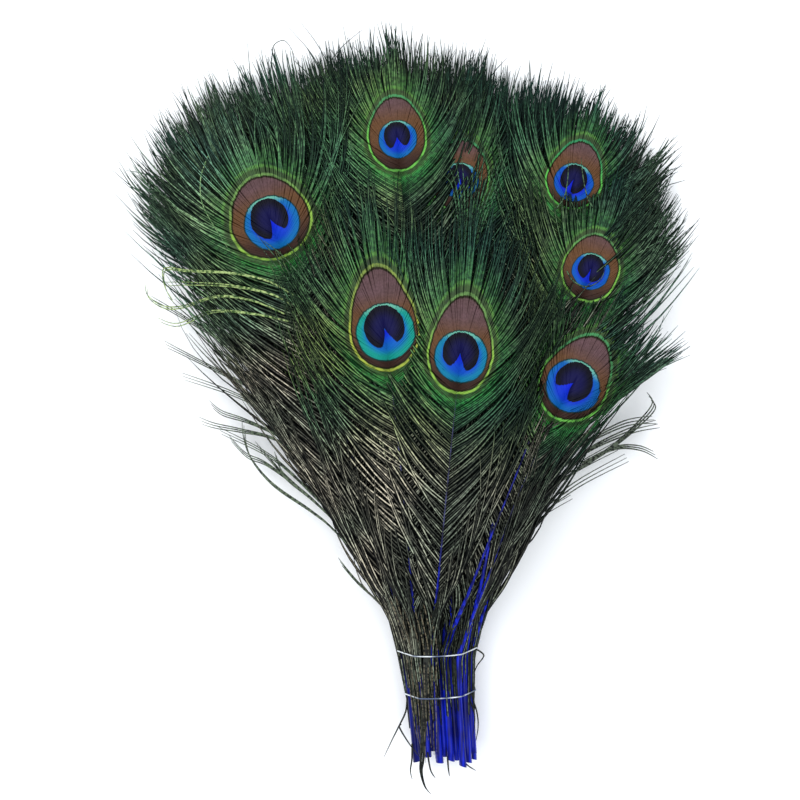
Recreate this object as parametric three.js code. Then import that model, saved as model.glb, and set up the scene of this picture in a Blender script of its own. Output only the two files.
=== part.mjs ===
// A bunch of eyed peacock feathers with dyed quills, held by two thin bands and lying on a table.
// Millimetres. x runs across the bunch, y from the cut ends to the tips, z up from the table.
// The layout is worked out from the middle of the upper band, at x = 0, y = 0.
import * as THREE from "three";

// Quills where the bands hold them: rows from the table up, and how far apart their axes are.
const BUNDLE_ROWS = [4, 5, 6, 6, 6, 5, 4];
const QUILL_SPACING = 5.4;
const ROW_RISE = 4.0;
const BUNDLE_AXIS_Z = 14.6;
const SQUEEZE = [[-44, 0.84], [-16, 0.88], [0, 1]];   // scale of the bundle's section, by y
const BUNDLE_LEAN = 0.075;        // how far the cut ends lean to the right, per millimetre
const CUT_END_Y = -41;            // mean place of the cut ends
const CUT_END_SPREAD = 6;         // how uneven the cut ends are
const QUILL_RADIUS_CUT = 1.55;
const QUILL_RADIUS_TIE = 1.35;

// Bands.
const BANDS = { upper_band: 0, lower_band: -16 };
const BAND_THICKNESS = 0.8;
const BAND_CLEARANCE = 0.45;
const BAND_STEPS = 22;
const BAND_SIDES = 6;

// The fan: every vane lies in a layer of its own, one above the other.
const LAYER_PITCH = 1.2;
const VANE_THICKNESS = 0.28;
const LAYERED_FROM_Y = 40;        // from here to the tips the feathers lie in their layers
const LEVEL_TO_Y = 100;           // past this the pile gets lower towards the tips
const TIP_Y = 250;
const PILE_AT_TIPS = 0.6;         // height of the pile at the tips, as a share of its full height
const ARCH = 1.8e-5;              // how the pile falls away to both sides, per square millimetre
const SHAFT_HEIGHT = 0.96;

// Half widths of a feather by its place along the bunch: shaft first, then the whole vane.
const SHAFT_HALF_WIDTH = [[0, 1.35], [20, 1.1], [40, 0.9], [100, 0.7], [250, 0.4]];
const VANE_HALF_WIDTH = [
  [0, 1.35], [20, 3.2], [40, 6.5], [60, 26], [100, 48], [130, 54], [160, 52], [250, 48],
];

// Outline of a vane past the eye: distance as a share of the tip's reach, and the half width left.
const TIP_OUTLINE = [[0.5, 0.76], [0.85, 0.36]];

// Rows 0 to 3 fan out evenly. Their feathers lie face down, and how far the eye is from the tie
// depends on the lean in degrees.
const FAN_LEFT = -28;
const FAN_RIGHT = 24;
const FAN_STAGGER = [0, 0.25, -0.2, 0.12];
const FAN_REACH = [[-28, 188], [-18, 202], [-6, 199], [8, 190], [16, 182], [22, 166]];
const FAN_TIP = 48;
const FAN_OUTER_WIDTH = 0.76;
// Order of the layers inside a row, for rows of 4, 5 and 6: the layer of each slot from the left.
const ROW_ORDER = { 4: [2, 0, 3, 1], 5: [3, 1, 4, 0, 2], 6: [4, 1, 3, 0, 5, 2] };

// Rows 4 to 6 lie face up: layer inside the row, eye centre x and y, tilt of the tip in degrees,
// reach of the tip past the eye, and width of the vane.
const FACE_UP = {
  4: [
    { layer: 4, eye: [-64, 167], tilt: -22, tip: 46, width: 0.95 },
    { layer: 2, eye: [-23, 134], tilt: -9, tip: 46, width: 1 },
    { layer: 0, eye: [-15, 201], tilt: -4, tip: 46, width: 1 },
    { layer: 3, eye: [8, 123], tilt: 4, tip: 46, width: 1 },
    { layer: 1, eye: [52, 180], tilt: 17, tip: 38, width: 0.95 },
    { layer: 5, eye: [52, 110], tilt: 25, tip: 42, width: 0.9 },
  ],
  5: [
    { layer: 4, eye: [-66.4, 172.8], tilt: -21, tip: 46, width: 1 },
    { layer: 1, eye: [-20, 128], tilt: -7, tip: 46, width: 1 },
    { layer: 2, eye: [-16.1, 205.9], tilt: -5, tip: 44, width: 0.9 },
    { layer: 0, eye: [11.2, 187], tilt: 6, tip: 45, width: 0.9 },
    { layer: 3, eye: [54, 188.7], tilt: 17, tip: 36, width: 0.9 },
  ],
  6: [
    { layer: 2, eye: [-21.1, 129.6], tilt: -8, tip: 46, width: 1 },
    { layer: 3, eye: [8.6, 119.8], tilt: 6, tip: 46, width: 1 },
    { layer: 0, eye: [60.1, 153.1], tilt: 16, tip: 42, width: 0.9 },
    { layer: 1, eye: [52.8, 108.4], tilt: 31, tip: 40, width: 0.9 },
  ],
};
const START_LEAN = 0.8;           // share of its lean that a feather has as it leaves the tie

const radians = THREE.MathUtils.degToRad;
const lerp = THREE.MathUtils.lerp;

// Value at x of a curve given as a list of points joined by straight lines.
function along(points, x) {
  for (let i = 1; i < points.length; i++) {
    const [x0, v0] = points[i - 1];
    const [x1, v1] = points[i];
    if (x <= x1) return lerp(v0, v1, THREE.MathUtils.clamp((x - x0) / (x1 - x0), 0, 1));
  }
  return points.at(-1)[1];
}

// A repeatable number from 0 to 1 for feather n.
function uneven(n) {
  const golden = 0.6180339887;
  return (n * golden) % 1;
}

// How far the quills have moved from the bundle to their own layers at y, from 0 to 1.
function layered(y) {
  return THREE.MathUtils.smoothstep(y, 0, LAYERED_FROM_Y);
}

// Share of its full height that the pile has at x, y.
function pileHeight(x, y) {
  const ahead = y <= LEVEL_TO_Y ? 1 : lerp(1, PILE_AT_TIPS, (y - LEVEL_TO_Y) / (TIP_Y - LEVEL_TO_Y));
  return ahead * (1 - ARCH * x * x * layered(y));
}

// Where a quill's axis is at y, in the bundle: drawn in by the lower band, and leaning to the right.
function quillAxis({ slotX, slotZ }, y) {
  const scale = along(SQUEEZE, y);
  return new THREE.Vector3(slotX * scale - BUNDLE_LEAN * Math.min(y, 0), y, BUNDLE_AXIS_Z + slotZ * scale);
}

function quillRadius(y) {
  return lerp(QUILL_RADIUS_TIE, QUILL_RADIUS_CUT, Math.min(Math.max(y / CUT_END_Y, 0), 1));
}

// Where each feather lies, from the lowest layer to the top one.
function layoutFeathers() {
  const feathers = [];
  let firstLayer = 0;
  BUNDLE_ROWS.forEach((count, row) => {
    for (let slot = 0; slot < count; slot++) {
      const slotX = (slot - (count - 1) / 2) * QUILL_SPACING;
      const slotZ = (row - (BUNDLE_ROWS.length - 1) / 2) * ROW_RISE;
      const place = FACE_UP[row] ? FACE_UP[row][slot] : fanPlace(row, slot, count, slotX);
      feathers.push({ slotX, slotZ, ...place, layer: firstLayer + place.layer });
    }
    firstLayer += count;
  });
  feathers.sort((a, b) => a.layer - b.layer);
  feathers.forEach((feather) => {
    feather.cutY = CUT_END_Y + (uneven(feather.layer + 1) - 0.5) * CUT_END_SPREAD;
    feather.route = routeOf(feather);
  });
  return feathers;
}

// Place of a feather in one of the evenly fanned rows.
function fanPlace(row, slot, count, slotX) {
  const lean = lerp(FAN_LEFT, FAN_RIGHT, (slot + 0.5 + FAN_STAGGER[row]) / count);
  const reach = along(FAN_REACH, lean);
  const eye = [slotX / 2 + reach * Math.sin(radians(lean)), reach * Math.cos(radians(lean))];
  const width = slot === 0 || slot === count - 1 ? FAN_OUTER_WIDTH : 1;
  return { layer: ROW_ORDER[count][slot], eye, tilt: lean * 1.1, tip: FAN_TIP, width };
}

// The shaft's route from the tie to the eye: a cubic curve that leaves along part of its lean.
function routeOf({ slotX, eye, tilt }) {
  const [eyeX, eyeY] = eye;
  const length = Math.hypot(eyeX - slotX, eyeY);
  const start = Math.atan2(eyeX - slotX, eyeY) * START_LEAN;
  const end = radians(tilt);
  const hermite = (t, a, ta, b, tb) =>
    a * (2 * t ** 3 - 3 * t ** 2 + 1) + ta * (t ** 3 - 2 * t ** 2 + t)
    + b * (3 * t ** 2 - 2 * t ** 3) + tb * (t ** 3 - t ** 2);
  const at = (t) => [
    hermite(t, slotX, length * Math.sin(start), eyeX, length * Math.sin(end)),
    hermite(t, 0, length * Math.cos(start), eyeY, length * Math.cos(end)),
  ];
  return { at, eyeX, eyeY, slope: Math.tan(end) };
}

// x of a feather's shaft at y.
function shaftX(feather, y) {
  if (y <= 0) return quillAxis(feather, y).x;
  const { at, eyeX, eyeY, slope } = feather.route;
  if (y >= eyeY) return eyeX + (y - eyeY) * slope;
  let low = 0;
  let high = 1;
  for (let step = 0; step < 30; step++) {
    const middle = (low + high) / 2;
    if (at(middle)[1] < y) low = middle;
    else high = middle;
  }
  return at(low)[0];
}

// The twelve corners of a feather's section at y: a round quill that turns into a shaft with a flat
// vane on both sides. Corners go from the left edge along the underside, and back over the top.
function section(feather, y, share) {
  const round = quillRadius(y);
  const wing = along(VANE_HALF_WIDTH, Math.max(y, 0)) * feather.width * share;
  const shaft = along(SHAFT_HALF_WIDTH, Math.max(y, 0)) * Math.min(1, share * 1.4);
  const vane = [
    [-wing, VANE_THICKNESS / 2], [-wing / 2, 0], [-shaft, 0], [0, 0], [shaft, 0], [wing / 2, 0],
    [wing, VANE_THICKNESS / 2], [wing / 2, VANE_THICKNESS], [shaft, VANE_THICKNESS],
    [0, SHAFT_HEIGHT], [-shaft, VANE_THICKNESS], [-wing / 2, VANE_THICKNESS],
  ];
  const blend = layered(y);
  const quillBase = quillAxis(feather, y).z - round;
  const base = lerp(quillBase, feather.layer * LAYER_PITCH, blend);
  return vane.map(([vaneX, vaneZ], corner) => {
    const angle = radians(180 + corner * 30);
    const x = shaftX(feather, y) + lerp(round * Math.cos(angle), vaneX, blend);
    const z = base + lerp(round + round * Math.sin(angle), vaneZ, blend);
    return new THREE.Vector3(x, y, z * pileHeight(x, y));
  });
}

// A closed skin over a row of sections. Each four-sided patch is split along its narrower diagonal.
// With a tip the sections end in that point, and without one they close on the first section.
function skin(sections, tip) {
  const sides = sections[0].length;
  const corners = sections.flat();
  const faces = [];
  const count = sections.length;
  for (let i = 0; i < (tip ? count - 1 : count); i++) {
    for (let j = 0; j < sides; j++) {
      const a = i * sides + j;
      const b = i * sides + ((j + 1) % sides);
      const c = ((i + 1) % count) * sides + ((j + 1) % sides);
      const d = ((i + 1) % count) * sides + j;
      const acrossAC = Math.abs(corners[a].x - corners[c].x);
      const acrossBD = Math.abs(corners[b].x - corners[d].x);
      if (acrossAC <= acrossBD) faces.push([a, d, c], [a, c, b]);
      else faces.push([a, d, b], [d, c, b]);
    }
  }
  if (tip) {
    const last = (count - 1) * sides;
    corners.push(tip);
    for (let j = 0; j < sides; j++) faces.push([last + j, corners.length - 1, last + ((j + 1) % sides)]);
    for (let j = 1; j < sides - 1; j++) faces.push([0, j, j + 1]);
  }
  const volume = faces.reduce((sum, [a, b, c]) => {
    return sum + corners[a].dot(new THREE.Vector3().crossVectors(corners[b], corners[c]));
  }, 0);
  if (volume < 0) faces.forEach((face) => face.reverse());
  const geometry = new THREE.BufferGeometry().setFromPoints(corners);
  geometry.setIndex(faces.flat());
  geometry.computeVertexNormals();
  return geometry;
}

// One feather: quill, shaft and both vanes out to the tips of the barbs, in one solid.
function featherMesh(feather, name) {
  const { eyeX, eyeY, slope } = feather.route;
  const reach = feather.tip * Math.cos(radians(feather.tilt));
  const middle = (LEVEL_TO_Y + eyeY) / 2;
  const full = [feather.cutY, BANDS.lower_band, 0, 20, LAYERED_FROM_Y, 60, LEVEL_TO_Y, middle, eyeY];
  const stations = full.map((y) => [y, 1]);
  TIP_OUTLINE.forEach(([share, width]) => stations.push([eyeY + share * reach, width]));
  const sections = stations.map(([y, share]) => section(feather, y, share));
  const tipX = eyeX + reach * slope;
  const tipY = eyeY + reach;
  const tipZ = feather.layer * LAYER_PITCH + VANE_THICKNESS / 2;
  const tip = new THREE.Vector3(tipX, tipY, tipZ * pileHeight(tipX, tipY));
  const material = new THREE.MeshStandardMaterial({ color: 0x1d4a2e, roughness: 0.5, metalness: 0.1 });
  const mesh = new THREE.Mesh(skin(sections, tip), material);
  mesh.name = name;
  return mesh;
}

// A band: a round thread pulled tight around the outer quills, in a plane across the bundle.
function bandMesh(feathers, y, name) {
  const away = quillRadius(y) + BAND_CLEARANCE + BAND_THICKNESS / 2;
  const sections = [];
  for (let step = 0; step < BAND_STEPS; step++) {
    const angle = (2 * Math.PI * (step + 0.5)) / BAND_STEPS;
    const out = new THREE.Vector3(Math.cos(angle), 0, Math.sin(angle));
    const outer = feathers
      .map((feather) => quillAxis(feather, y))
      .reduce((best, quill) => (quill.dot(out) > best.dot(out) ? quill : best));
    const centre = outer.clone().addScaledVector(out, away);
    const ring = [];
    for (let side = 0; side < BAND_SIDES; side++) {
      const around = (2 * Math.PI * side) / BAND_SIDES;
      const offset = out.clone().multiplyScalar(Math.cos(around)).setY(Math.sin(around));
      ring.push(centre.clone().addScaledVector(offset, BAND_THICKNESS / 2));
    }
    sections.push(ring);
  }
  const material = new THREE.MeshStandardMaterial({ color: 0xc9d3d6, roughness: 0.35, metalness: 0 });
  const mesh = new THREE.Mesh(skin(sections), material);
  mesh.name = name;
  return mesh;
}

const feathers = layoutFeathers();
const bunch = new THREE.Group();
feathers.forEach((feather, n) => {
  bunch.add(featherMesh(feather, `feather_${String(n + 1).padStart(2, "0")}`));
});
Object.entries(BANDS).forEach(([name, y]) => bunch.add(bandMesh(feathers, y, name)));

// The origin is the middle of the bunch, on the table.
const box = new THREE.Box3().setFromObject(bunch);
const centre = box.getCenter(new THREE.Vector3());
bunch.position.set(-centre.x, -centre.y, -box.min.z);

export default bunch;
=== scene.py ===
import math

import bpy
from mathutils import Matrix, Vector


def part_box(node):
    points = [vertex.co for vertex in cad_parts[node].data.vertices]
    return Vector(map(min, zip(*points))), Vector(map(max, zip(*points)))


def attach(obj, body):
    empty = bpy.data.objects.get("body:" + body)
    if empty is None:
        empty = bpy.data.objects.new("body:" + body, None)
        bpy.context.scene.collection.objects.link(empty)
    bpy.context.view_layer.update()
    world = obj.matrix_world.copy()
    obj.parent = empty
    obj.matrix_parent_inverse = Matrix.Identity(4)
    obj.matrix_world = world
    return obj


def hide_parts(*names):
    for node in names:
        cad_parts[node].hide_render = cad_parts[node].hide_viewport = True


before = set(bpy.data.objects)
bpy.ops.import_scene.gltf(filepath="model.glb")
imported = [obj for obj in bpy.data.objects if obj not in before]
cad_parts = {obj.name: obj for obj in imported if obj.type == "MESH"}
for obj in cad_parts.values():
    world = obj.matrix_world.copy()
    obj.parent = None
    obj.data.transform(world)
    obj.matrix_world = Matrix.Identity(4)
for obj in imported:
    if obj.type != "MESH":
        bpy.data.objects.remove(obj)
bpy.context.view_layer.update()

MM = 0.001

# ---------------------------------------------------------------------------------------------
# Table, light and camera. The bunch lies on a white table top, lit by a large soft lamp on the
# upper left and a wide one overhead. The camera looks straight down on it.
# ---------------------------------------------------------------------------------------------
band_low, band_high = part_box("upper_band")
TIE_X = (band_low[0] + band_high[0]) / 2
TIE_Y = (band_low[1] + band_high[1]) / 2

CAMERA_HEIGHT = 642 * MM
CAMERA_FROM_TIE = (-14.9 * MM, 101.4 * MM)
CAMERA_LENS = 70


def colour(code):
    """Linear RGBA of a six-digit colour code."""
    parts = [int(code[i:i + 2], 16) / 255 for i in (0, 2, 4)]
    linear = [c / 12.92 if c <= 0.04045 else ((c + 0.055) / 1.055) ** 2.4 for c in parts]
    return (*linear, 1.0)


def place(data, name):
    """A new object in the scene."""
    made = bpy.data.objects.new(name, data)
    bpy.context.scene.collection.objects.link(made)
    return made


def table_top():
    half = 3.0
    corners = [(-half, -half, 0), (half, -half, 0), (half, half, 0), (-half, half, 0)]
    mesh = bpy.data.meshes.new("table_top")
    mesh.from_pydata(corners, [], [(0, 1, 2, 3)])
    material = bpy.data.materials.new("table_white")
    material.use_nodes = True
    shader = material.node_tree.nodes["Principled BSDF"]
    shader.inputs["Base Color"].default_value = colour("fbfcfd")
    shader.inputs["Roughness"].default_value = 0.8
    mesh.materials.append(material)
    place(mesh, "table_top")


def lamp(name, where, size, power, tint):
    light = bpy.data.lights.new(name, "AREA")
    light.shape = "DISK"
    light.size = size
    light.energy = power
    light.color = colour(tint)[:3]
    made = place(light, name)
    made.location = where
    made.rotation_euler = (Vector((0, 0, 0)) - Vector(where)).to_track_quat("-Z", "Y").to_euler()


table_top()
lamp("window_lamp", (-0.6, 0.45, 1.2), 0.5, 5.5, "ffffff")
lamp("overhead_lamp", (0.05, 0.0, 1.7), 2.2, 30, "f8fbff")

world = bpy.data.worlds.new("studio")
world.use_nodes = True
world.node_tree.nodes["Background"].inputs["Color"].default_value = colour("f4f8fb")
world.node_tree.nodes["Background"].inputs["Strength"].default_value = 0.6
bpy.context.scene.world = world
bpy.context.scene.view_settings.view_transform = "Standard"

camera = place(bpy.data.cameras.new("camera"), "camera")
camera.data.lens = CAMERA_LENS
camera.location = (TIE_X + CAMERA_FROM_TIE[0], TIE_Y + CAMERA_FROM_TIE[1], CAMERA_HEIGHT)
bpy.context.scene.camera = camera

# ---------------------------------------------------------------------------------------------
# Feathers: where they lie. Seven rows of quills are packed in the bunch. From there every feather
# curves out to its own place in the fan and lies in a layer of its own, the lowest rows face down.
# ---------------------------------------------------------------------------------------------
BUNDLE_ROWS = (4, 5, 6, 6, 6, 5, 4)
QUILL_SPACING = 5.4 * MM
ROW_RISE = 4.0 * MM
BUNDLE_AXIS_Z = 14.6 * MM
LOWER_BAND_Y = -16 * MM
NARROWING_TO_BAND = 0.12 / (16 * MM)
NARROWING_TO_CUT = 0.04 / (28 * MM)
BUNDLE_LEAN = 0.075
CUT_END_Y = -41 * MM
CUT_END_SPREAD = 6 * MM
GOLDEN_SHARE = 0.6180339887
LAYER_PITCH = 1.2 * MM
LAYERED_FROM_Y = 40 * MM
LEVEL_TO_Y = 100 * MM
TIP_Y = 250 * MM
PILE_AT_TIPS = 0.6
ARCH = 18.0
START_LEAN = 0.8

FAN_LEFT = -28
FAN_RIGHT = 24
FAN_STAGGER = (0, 0.25, -0.2, 0.12)
FAN_REACH = ((-28, 188), (-18, 202), (-6, 199), (8, 190), (16, 182), (22, 166))
FAN_TIP = 48
FAN_OUTER_WIDTH = 0.76
ROW_ORDER = {4: (2, 0, 3, 1), 5: (3, 1, 4, 0, 2), 6: (4, 1, 3, 0, 5, 2)}

# Rows 4 to 6, face up: layer in the row, eye x and y and tip reach in millimetres, tilt in degrees,
# and width of the vane. An eye that is to be seen has a look of its own: half width, height up and
# height down of its ring in millimetres, size of the turquoise zone in it and how blue that is, where
# its navy spot opens, in degrees from straight down, and how wide, and how yellow its ring is. The
# feathers above stay clear of a window round it: left, right, up and down from its middle. Three
# shafts lie over their neighbours' barbs, that many millimetres higher, as far as they are dyed.
FACE_UP = {
    4: (
        dict(layer=4, eye=(-64, 167), tilt=-22, tip=46, width=1.08),
        dict(layer=2, eye=(-23, 134), tilt=-9, tip=46, width=1),
        dict(layer=0, eye=(-15, 201), tilt=-4, tip=46, width=1),
        dict(layer=3, eye=(8, 123), tilt=4, tip=46, width=1),
        dict(layer=1, eye=(52, 180), tilt=17, tip=38, width=0.95),
        dict(layer=5, eye=(52, 110), tilt=25, tip=42, width=0.9),
    ),
    5: (
        dict(layer=4, eye=(-66.4, 172.8), tilt=-21, tip=52, width=1.24, ring=(15.6, 17.5, 15.2), zone=1.04,
             blue=0.75, turn=14, opening=0.25, yellow=0.6, window=(18, 18, 21, 15), clear=0.99),
        dict(layer=1, eye=(-20, 128), tilt=-7, tip=46, width=1),
        dict(layer=2, eye=(-16.1, 205.9), tilt=-5, tip=44, width=0.9, ring=(11, 15.8, 13.1), zone=0.73,
             blue=0.8, turn=5, opening=0.36, yellow=0.15, window=(13, 9, 18, 13), clear=0.98),
        dict(layer=0, eye=(9, 189.5), tilt=6, tip=45, width=0.9, ring=(11, 15, 13), zone=0.7,
             blue=0.8, turn=0, opening=0.2, yellow=0.1, window=(4, 5, 14, 0.6), clear=0.75),
        dict(layer=3, eye=(54, 188.7), tilt=17, tip=36, width=0.9, ring=(10.4, 15.4, 11.2), zone=0.74,
             blue=1.0, turn=-16, opening=0.12, yellow=0.0, window=(12, 12, 17, 8), clear=0.96,
             over=6.6, dyed=56),
    ),
    6: (
        dict(layer=2, eye=(-21.1, 129.6), tilt=-8, tip=60, width=1, ring=(12.9, 23.4, 15.9), zone=1.08,
             blue=0.0, turn=12, opening=0.22, yellow=1.0, window=(19, 13.5, 27, 19), clear=1.0),
        dict(layer=3, eye=(8.6, 119.8), tilt=6, tip=60, width=1, ring=(12, 22, 15), zone=0.97,
             blue=0.5, turn=-9, opening=0.26, yellow=0.55, window=(15, 15, 25, 18), clear=1.0),
        dict(layer=0, eye=(60.1, 153.1), tilt=16, tip=42, width=0.9, ring=(10.7, 13.3, 12.5), zone=0.7,
             blue=0.95, turn=-10, opening=0.1, yellow=0.35, window=(9, 12, 15, 14), clear=0.97,
             over=5, dyed=85),
        dict(layer=1, eye=(52.8, 108.4), tilt=31, tip=40, width=0.9, ring=(12.8, 19.6, 15), zone=1.0,
             blue=0.85, turn=-24, opening=0.28, yellow=0.15, window=(15, 15, 22, 17), clear=0.99,
             over=3, dyed=55),
    ),
}
PLAIN = dict(ring=(11.5, 17, 14), zone=0.85, blue=0.6, turn=0, opening=0.3, yellow=0.4, over=0, dyed=48)


def fan_place(row, slot, count, slot_x):
    """Place of a feather in one of the evenly fanned rows, as in FACE_UP."""
    lean = FAN_LEFT + (FAN_RIGHT - FAN_LEFT) * (slot + 0.5 + FAN_STAGGER[row]) / count
    after = next((n for n, (at, _) in enumerate(FAN_REACH) if at >= lean and n > 0), len(FAN_REACH) - 1)
    (lean_0, reach_0), (lean_1, reach_1) = FAN_REACH[after - 1:after + 1]
    share = min(max((lean - lean_0) / (lean_1 - lean_0), 0), 1)
    reach = reach_0 + (reach_1 - reach_0) * share
    eye = (slot_x / MM / 2 + reach * math.sin(math.radians(lean)), reach * math.cos(math.radians(lean)))
    outer = slot in (0, count - 1)
    return dict(layer=ROW_ORDER[count][slot], eye=eye, tilt=lean * 1.1, tip=FAN_TIP,
                width=FAN_OUTER_WIDTH if outer else 1)


def lay_out_feathers():
    """Every feather's place, from the lowest layer to the top one, measured from the tie."""
    feathers = []
    first_layer = 0
    for row, count in enumerate(BUNDLE_ROWS):
        for slot in range(count):
            slot_x = (slot - (count - 1) / 2) * QUILL_SPACING
            own = FACE_UP[row][slot] if row in FACE_UP else fan_place(row, slot, count, slot_x)
            feather = {**PLAIN, **own}
            feather["slot_x"] = slot_x
            feather["slot_z"] = (row - (len(BUNDLE_ROWS) - 1) / 2) * ROW_RISE
            feather["base_cover"] = 0.9 if slot < count / 2 - 0.6 else 0.35
            feather["layer"] += first_layer
            feather["back"] = 0.0 if row in FACE_UP else 1.0
            feather["cut_y"] = CUT_END_Y + ((feather["layer"] + 1) * GOLDEN_SHARE % 1 - 0.5) * CUT_END_SPREAD
            feathers.append(feather)
        first_layer += count
    return sorted(feathers, key=lambda feather: feather["layer"])


feathers = lay_out_feathers()

# ---------------------------------------------------------------------------------------------
# Feathers: how one grows. A tapering shaft carries a row of barbs on each side. Down low they are
# long and loose, and they get denser towards the eye, where they close to one surface and fan out
# past the end of the shaft. One tree of nodes makes them all.
# ---------------------------------------------------------------------------------------------
FIRST_BARB = -30 * MM
BARE_TO_Y = 8 * MM
ROUND_QUILL = 1.75 * MM
FAN_ROOTS = 12 * MM
FAN_BARBS = 56
FAN_CLUMPS = 11
FAN_SWING = 1.06
ANGLE_AT_EYE = 41
BARB_SEGMENTS = 9
SHAFT_SIDES = 8
SHAFT_SEGMENTS = 56
SHAFT_PAST_EYE = 2 * MM
WINDOW_DEPTH = 1.4 * MM
# A barb's blank is a rod with three sides and a radius of 1, so its edges are 0.866 from its middle.
BLANK_TO_HALF_WIDTH = 0.577
BLANK_TO_EDGE = 1.155


def feed(socket, value):
    """Gives a node's input a number, a vector, a socket or a Number."""
    if isinstance(value, Number):
        value = value.socket
    if isinstance(value, bpy.types.NodeSocket):
        socket.id_data.links.new(value, socket)
    else:
        socket.default_value = value


def add(tree, kind, inputs=None, **settings):
    """A new node with its settings and inputs."""
    node = tree.nodes.new(kind)
    for name, value in settings.items():
        setattr(node, name, value)
    for socket, value in (inputs or {}).items():
        feed(node.inputs[socket], value)
    return node


class Number:
    """A number in a tree of nodes, so that node maths is written as arithmetic."""

    def __init__(self, socket):
        self.socket = socket

    def math(self, operation, *others):
        inputs = dict(enumerate((self, *others)))
        return Number(add(self.socket.id_data, "ShaderNodeMath", inputs, operation=operation).outputs[0])

    def __add__(self, other):
        return self.math("ADD", other)

    def __mul__(self, other):
        return self.math("MULTIPLY", other)

    def __sub__(self, other):
        return self.math("SUBTRACT", other)

    def __truediv__(self, other):
        return self.math("DIVIDE", other)

    def __rsub__(self, other):
        return (self * -1) + other

    __radd__ = __add__
    __rmul__ = __mul__

    def sin(self):
        return self.math("SINE")

    def cos(self):
        return self.math("COSINE")

    def floor(self):
        return self.math("FLOOR")

    def ceil(self):
        return self.math("CEIL")

    def root(self):
        return self.math("SQRT")

    def size(self):
        return self.math("ABSOLUTE")

    def power(self, exponent):
        return self.math("POWER", exponent)

    def above(self, limit):
        """1 where the number is greater than the limit, else 0."""
        return self.math("GREATER_THAN", limit)

    def at_least(self, limit):
        return self.math("MAXIMUM", limit)

    def at_most(self, limit):
        return self.math("MINIMUM", limit)

    def rise(self, low, high):
        """A smooth rise from 0 at low to 1 at high."""
        inputs = {"Value": self, "From Min": low, "From Max": high}
        node = add(self.socket.id_data, "ShaderNodeMapRange", inputs, interpolation_type="SMOOTHSTEP")
        return Number(node.outputs["Result"])

    def blend(self, start, end):
        """start where this number is 0, end where it is 1."""
        return (end - start) * self + start

    def through(self, *points):
        """A smooth curve through points (from 0 to 1, value), read at this number."""
        node = add(self.socket.id_data, "ShaderNodeFloatCurve", {"Value": self})
        curve = node.mapping.curves[0]
        largest = max(value for _, value in points)
        curve.points[0].location = (points[0][0], points[0][1] / largest)
        curve.points[1].location = (points[-1][0], points[-1][1] / largest)
        for at, value in points[1:-1]:
            curve.points.new(at, value / largest)
        node.mapping.update()
        return Number(node.outputs[0]) * largest


def named_inputs(tree, names):
    """The tree's own inputs, as a dict of Numbers, with a geometry output."""
    for name in names:
        tree.interface.new_socket(name, in_out="INPUT", socket_type="NodeSocketFloat")
    tree.interface.new_socket("Geometry", in_out="OUTPUT", socket_type="NodeSocketGeometry")
    group = add(tree, "NodeGroupInput")
    return {name: Number(group.outputs[name]) for name in names}


def stored(tree, geometry, name, value, kind="FLOAT_VECTOR", domain="POINT"):
    """The geometry with a named attribute."""
    inputs = {"Geometry": geometry, "Name": name, "Value": value}
    node = add(tree, "GeometryNodeStoreNamedAttribute", inputs, data_type=kind, domain=domain)
    return node.outputs["Geometry"]


def read_back(tree, name, kind):
    """A named attribute that was stored earlier."""
    return add(tree, "GeometryNodeInputNamedAttribute", {"Name": name}, data_type=kind).outputs[0]


def vector(tree, x, y, z):
    return add(tree, "ShaderNodeCombineXYZ", {"X": x, "Y": y, "Z": z}).outputs[0]


def parts_of(tree, socket):
    node = add(tree, "ShaderNodeSeparateXYZ", {0: socket})
    return [Number(output) for output in node.outputs]


def bundle_scale(below):
    """Width of the bundle at a place below the upper band, where it is 1."""
    to_band = below.at_least(LOWER_BAND_Y) * NARROWING_TO_BAND
    past_band = (below - LOWER_BAND_Y).at_most(0) * NARROWING_TO_CUT
    return to_band + past_band + 1


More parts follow.
